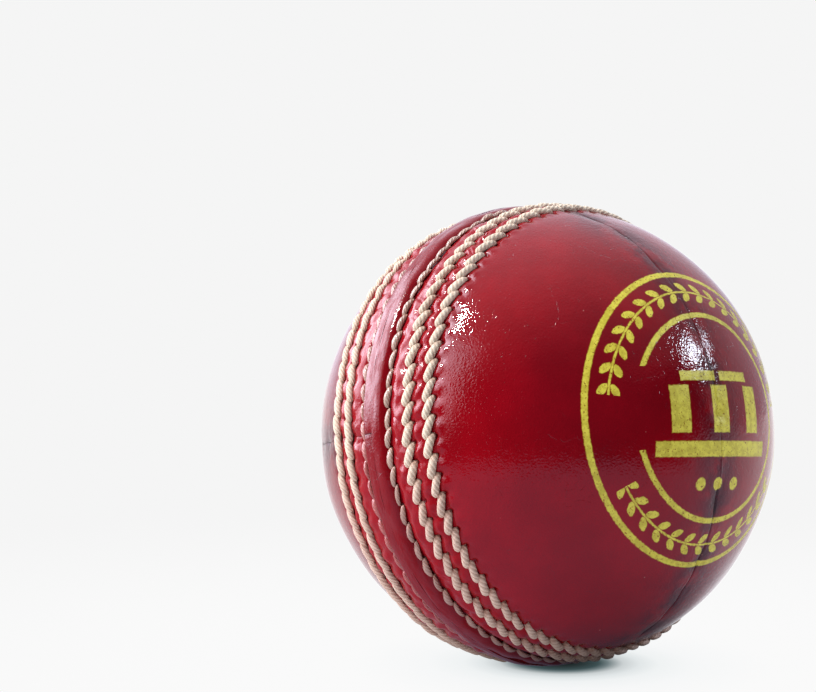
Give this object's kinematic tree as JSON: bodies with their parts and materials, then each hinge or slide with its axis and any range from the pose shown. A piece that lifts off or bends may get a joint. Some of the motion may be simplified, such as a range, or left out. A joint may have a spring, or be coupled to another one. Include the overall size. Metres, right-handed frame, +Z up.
{
  "type": "cricket ball",
  "caption": "Round leather-covered ball with a wound yarn and cork inside and a raised, sewn seam around its middle.",
  "frame": {"origin": "the ball's centre", "axes": "+X along the seam's axis to the pole of the stamped cup, +Z up in the plane of the seam, where the stamped cup's quarter seam meets the ridge"},
  "size_m": [0.0714, 0.0734, 0.0734],
  "materials": {
    "red_leather": "dyed, waxed and lacquered to a high gloss",
    "lining_leather": "undyed, matt",
    "linen_thread": "waxed and plied",
    "cork_rubber": "granulated cork bound with rubber, matt",
    "cork_strip": "cut cork, matt",
    "wool_yarn": "wound worsted, fibrous"
  },
  "bodies": {
    "root": {"cork_rubber_core": "cork_rubber", "yarn_winding_1": "wool_yarn", "inner_cork_strip_1": "cork_strip", "inner_cork_strip_2": "cork_strip", "inner_cork_strip_3": "cork_strip", "inner_cork_strip_4": "cork_strip", "yarn_winding_2": "wool_yarn", "middle_cork_strip_1": "cork_strip", "middle_cork_strip_2": "cork_strip", "middle_cork_strip_3": "cork_strip", "middle_cork_strip_4": "cork_strip", "yarn_winding_3": "wool_yarn", "outer_cork_strip_1": "cork_strip", "outer_cork_strip_2": "cork_strip", "outer_cork_strip_3": "cork_strip", "outer_cork_strip_4": "cork_strip", "yarn_winding_4": "wool_yarn", "cover_stamped_front": "red_leather", "cover_stamped_back": "red_leather", "quarter_lining_stamped": "lining_leather", "quarter_thread_stamped": "linen_thread", "cover_plain_lower": "red_leather", "cover_plain_upper": "red_leather", "quarter_lining_plain": "lining_leather", "quarter_thread_plain": "linen_thread", "closing_stitch_row_stamped": "linen_thread", "middle_stitch_row_stamped": "linen_thread", "outer_stitch_row_stamped": "linen_thread", "closing_stitch_row_plain": "linen_thread", "middle_stitch_row_plain": "linen_thread", "outer_stitch_row_plain": "linen_thread"}
  },
  "joints": []
}
